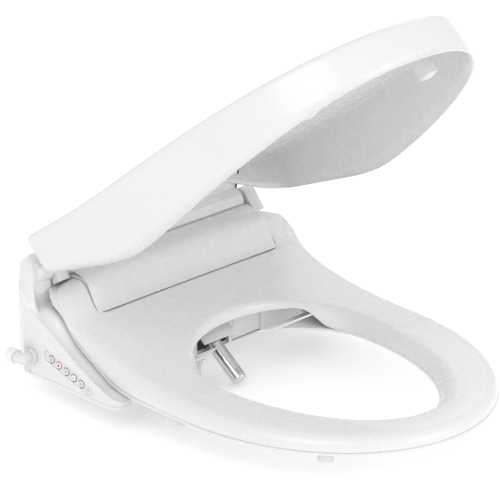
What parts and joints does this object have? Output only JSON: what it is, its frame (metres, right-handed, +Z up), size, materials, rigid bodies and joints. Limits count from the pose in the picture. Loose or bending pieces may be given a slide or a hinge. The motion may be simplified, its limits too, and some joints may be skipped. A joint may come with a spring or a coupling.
{
  "type": "electric bidet seat",
  "caption": "Elongated toilet seat with washing nozzle, warm-air door, side buttons, heated ring and a hinged lid, on a rear housing.",
  "frame": {"origin": "centre between the two seat bolts, on the plane of the bowl's rim", "axes": "+Z up, -Y to the front of the bowl, +X to the side away from the buttons and the water inlet"},
  "size_m": [0.4257, 0.51, 0.4817],
  "materials": {
    "shell_white": "smooth white moulding",
    "bay_white": "smooth white moulding, a little greyer",
    "panel_grey": "satin light grey strip",
    "window_dark": "dark smoked lens",
    "button_white": "satin white caps",
    "circuit_board": "green laminate",
    "fitting_grey": "plain grey moulding",
    "nut_white": "ribbed white moulding",
    "nozzle_chrome": "bright plated tube",
    "inner_plastic": "plain moulding",
    "steel": "bright zinc plate",
    "motor_metal": "plain metal case",
    "foil": "printed heater foil",
    "rubber_grey": "soft grey-white rubber"
  },
  "bodies": {
    "root": {"air_heater": "motor_metal", "base_tray": "shell_white", "bay_fascia": "bay_white", "blower_case": "inner_plastic", "blower_motor": "motor_metal", "body_casing": "shell_white", "button_board": "circuit_board", "carbon_cartridge": "inner_plastic", "deodoriser_case": "inner_plastic", "deodoriser_pin": "steel", "door_pin": "steel", "dryer_duct": "inner_plastic", "gate_pin": "steel", "heater_tank": "inner_plastic", "hinge_cover": "shell_white", "hinge_shafts": "steel", "inlet_collar": "fitting_grey", "inlet_filter": "fitting_grey", "lid_damper": "inner_plastic", "main_board": "circuit_board", "metering_pump": "inner_plastic", "mounting_plate": "fitting_grey", "nozzle_cradle": "inner_plastic", "panel_plate": "panel_grey", "panel_window": "window_dark", "power_inlet_gland": "fitting_grey", "seat_damper": "inner_plastic", "solenoid_valve": "inner_plastic", "stepper_motor": "motor_metal", "tank_heater_rod": "motor_metal", "transformer": "motor_metal", "tray_pads": "rubber_grey", "tray_screws": "steel"},
    "seat": {"seat_top": "shell_white", "seat_bottom": "shell_white", "seat_hinge_arms": "shell_white", "seat_heater_foil": "foil", "seat_bumpers": "rubber_grey", "seat_screws": "steel"},
    "lid": {"lid_shell": "shell_white", "lid_hinge_arms": "shell_white", "lid_barrel": "shell_white", "lid_bumpers": "rubber_grey"},
    "nozzle": {"nozzle_tube": "nozzle_chrome", "nozzle_tip": "nozzle_chrome", "nozzle_carriage": "inner_plastic"},
    "screw": {"drive_screw": "steel"},
    "gate": {"nozzle_gate": "bay_white"},
    "air_door": {"warm_air_door": "bay_white"},
    "elbow": {"inlet_elbow": "fitting_grey"},
    "nut": {"inlet_nut": "nut_white"},
    "blower": {"blower_wheel": "inner_plastic"},
    "fan": {"deodoriser_fan": "inner_plastic"},
    "stop_button": {"button_stop": "button_white"},
    "rear_wash_button": {"button_rear_wash": "button_white"},
    "front_wash_button": {"button_front_wash": "button_white"},
    "warm_air_button": {"button_warm_air": "button_white"},
    "power_button": {"button_power": "button_white"}
  },
  "joints": [
    {"name": "seat_hinge", "type": "hinge", "parent": "root", "child": "seat", "pos_m": [0, 0.033, 0.115], "axis": [-1, 0, 0], "range_deg": [0, 95]},
    {"name": "lid_hinge", "type": "hinge", "parent": "seat", "child": "lid", "pos_m": [0, 0.033, 0.115], "axis": [1, 0, 0], "range_deg": [-48, 46.7]},
    {"name": "nozzle_slide", "type": "slide", "parent": "root", "child": "nozzle", "axis": [0, -0.809, -0.5878], "range_m": [-0.064, 0.008]},
    {"name": "screw_spin", "type": "hinge", "parent": "root", "child": "screw", "pos_m": [-0.04, -0.1336, -0.0207], "axis": [0, -0.809, -0.5878], "range_deg": [-2885, 365]},
    {"name": "gate_hinge", "type": "hinge", "parent": "root", "child": "gate", "pos_m": [-0.013, -0.0836, 0.0296], "axis": [-1, 0, 0], "range_deg": [0, 30]},
    {"name": "air_door_hinge", "type": "hinge", "parent": "root", "child": "air_door", "pos_m": [0.041, -0.0836, 0.0296], "axis": [-1, 0, 0], "range_deg": [0, 40]},
    {"name": "elbow_swivel", "type": "hinge", "parent": "root", "child": "elbow", "pos_m": [-0.214, 0.009, 0.025], "axis": [1, 0, 0], "range_deg": [-45, 45]},
    {"name": "nut_spin", "type": "hinge", "parent": "elbow", "child": "nut", "pos_m": [-0.221, 0.0253, 0.025], "axis": [0, 1, 0], "continuous": true},
    {"name": "blower_spin", "type": "hinge", "parent": "root", "child": "blower", "pos_m": [0.04, 0, 0.036], "axis": [1, 0, 0], "continuous": true},
    {"name": "fan_spin", "type": "hinge", "parent": "root", "child": "fan", "pos_m": [0.118, 0.031, 0.03], "axis": [0, 1, 0], "continuous": true},
    {"name": "press_stop", "type": "slide", "parent": "root", "child": "stop_button", "axis": [1, 0, 0], "range_m": [0, 0.0012], "stiffness_N_per_m": 400, "springref_m": -0.001},
    {"name": "press_rear_wash", "type": "slide", "parent": "root", "child": "rear_wash_button", "axis": [1, 0, 0], "range_m": [0, 0.0012], "stiffness_N_per_m": 400, "springref_m": -0.001},
    {"name": "press_front_wash", "type": "slide", "parent": "root", "child": "front_wash_button", "axis": [1, 0, 0], "range_m": [0, 0.0012], "stiffness_N_per_m": 400, "springref_m": -0.001},
    {"name": "press_warm_air", "type": "slide", "parent": "root", "child": "warm_air_button", "axis": [1, 0, 0], "range_m": [0, 0.0012], "stiffness_N_per_m": 400, "springref_m": -0.001},
    {"name": "press_power", "type": "slide", "parent": "root", "child": "power_button", "axis": [1, 0, 0], "range_m": [0, 0.0012], "stiffness_N_per_m": 400, "springref_m": -0.001}
  ],
  "couplings": [
    {"joint": "screw_spin", "follows": "nozzle_slide", "rad_per_m": 785.4}
  ]
}
